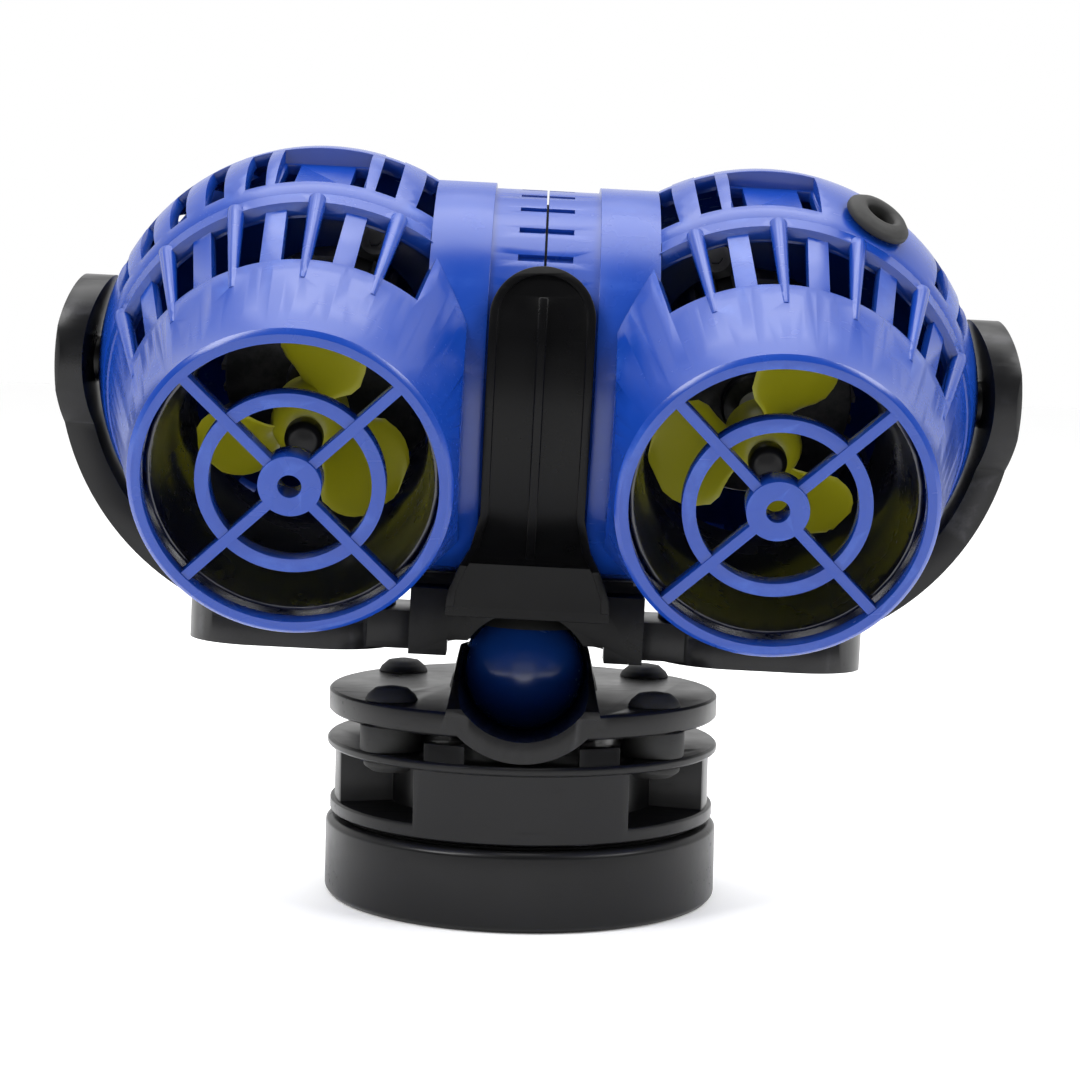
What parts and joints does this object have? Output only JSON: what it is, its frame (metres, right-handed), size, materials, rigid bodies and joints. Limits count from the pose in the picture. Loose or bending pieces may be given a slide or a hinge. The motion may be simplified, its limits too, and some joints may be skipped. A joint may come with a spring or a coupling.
{
  "type": "aquarium circulation pump",
  "caption": "Twin-head circulation pump: caged propeller heads on a barrel, carried by a yoke on a ball joint and a round two-part magnet mount.",
  "frame": {"origin": "centre of the dry disc's outer face", "axes": "+Z away from the dry disc towards the heads, +X along the barrel, nozzles towards -Y"},
  "size_m": [0.1667, 0.1005, 0.132],
  "materials": {
    "black_moulding": "fine grained black moulding, slightly worn at the edges",
    "soft_rubber": "soft matt rubber",
    "sintered_magnet": "plated sintered magnet",
    "blue_moulding": "satin blue moulding",
    "deep_blue_moulding": "smooth deep blue moulding",
    "steel": "turned stainless steel",
    "dark_steel": "blackened stainless steel",
    "ceramic": "polished pale ceramic",
    "green_moulding": "satin yellow-green moulding",
    "navy_moulding": "dark moulding"
  },
  "bodies": {
    "dry_side": {"dry_cup": "black_moulding", "dry_magnet": "sintered_magnet", "dry_lid": "black_moulding", "dry_pad": "soft_rubber"},
    "wet_mount": {"wet_base": "black_moulding", "wet_magnet": "sintered_magnet", "wet_cover": "black_moulding", "wet_pad": "soft_rubber", "dampers": "soft_rubber", "top_plate": "black_moulding"},
    "ball": {"pivot_ball": "deep_blue_moulding", "ball_stud": "steel"},
    "seat_liner": {"ball_liner": "soft_rubber"},
    "yoke": {"centre_block": "black_moulding", "left_arm": "black_moulding", "right_arm": "black_moulding", "arm_screws": "steel", "front_clip": "black_moulding", "rear_clip": "black_moulding", "left_pivot_pin": "black_moulding", "right_pivot_pin": "black_moulding"},
    "left_head": {"left_barrel_half": "blue_moulding", "left_rear_cage": "blue_moulding", "left_front_cage": "blue_moulding", "left_duct": "navy_moulding", "left_motor_can": "black_moulding", "left_motor_plate": "black_moulding", "left_motor_screws": "dark_steel", "left_rear_bush": "ceramic", "left_front_bush": "ceramic"},
    "right_head": {"coupling_sleeve": "soft_rubber", "right_barrel_half": "blue_moulding", "right_rear_cage": "blue_moulding", "right_front_cage": "blue_moulding", "right_duct": "navy_moulding", "right_motor_can": "black_moulding", "right_motor_plate": "black_moulding", "right_motor_screws": "dark_steel", "right_rear_bush": "ceramic", "right_front_bush": "ceramic", "cable_gland": "soft_rubber"},
    "left_rotor_body": {"left_rotor": "sintered_magnet", "left_shaft": "ceramic", "left_propeller": "green_moulding", "left_nose_cap": "black_moulding"},
    "right_rotor_body": {"right_rotor": "sintered_magnet", "right_shaft": "ceramic", "right_propeller": "green_moulding", "right_nose_cap": "black_moulding"}
  },
  "joints": [
    {"name": "mount_lift", "type": "slide", "parent": "dry_side", "child": "wet_mount", "axis": [0, 0, 1], "range_m": [0, 0.015]},
    {"name": "ball_swivel", "type": "hinge", "parent": "wet_mount", "child": "ball", "pos_m": [0, 0, 0.0399], "axis": [0, 0, 1], "continuous": true},
    {"name": "ball_tilt", "type": "hinge", "parent": "ball", "child": "seat_liner", "pos_m": [0, 0, 0.0399], "axis": [1, 0, 0], "range_deg": [-4, 4]},
    {"name": "ball_lean", "type": "hinge", "parent": "seat_liner", "child": "yoke", "pos_m": [0, 0, 0.0399], "axis": [0, 1, 0], "range_deg": [-4.9, 2.4]},
    {"name": "left_head_pitch", "type": "hinge", "parent": "yoke", "child": "left_head", "pos_m": [0.00144, 0, 0.09148], "axis": [0.9996, 0, -0.0279], "range_deg": [-75, 2]},
    {"name": "right_head_pitch", "type": "hinge", "parent": "yoke", "child": "right_head", "pos_m": [0.00144, 0, 0.09148], "axis": [0.9996, 0, -0.0279], "range_deg": [-75, 2]},
    {"name": "left_rotor_spin", "type": "hinge", "parent": "left_head", "child": "left_rotor_body", "pos_m": [-0.03674, 0, 0.09255], "axis": [-0.0089, -0.9483, -0.3172], "continuous": true},
    {"name": "right_rotor_spin", "type": "hinge", "parent": "right_head", "child": "right_rotor_body", "pos_m": [0.03963, 0, 0.09041], "axis": [-0.0089, -0.9483, -0.3172], "continuous": true}
  ]
}
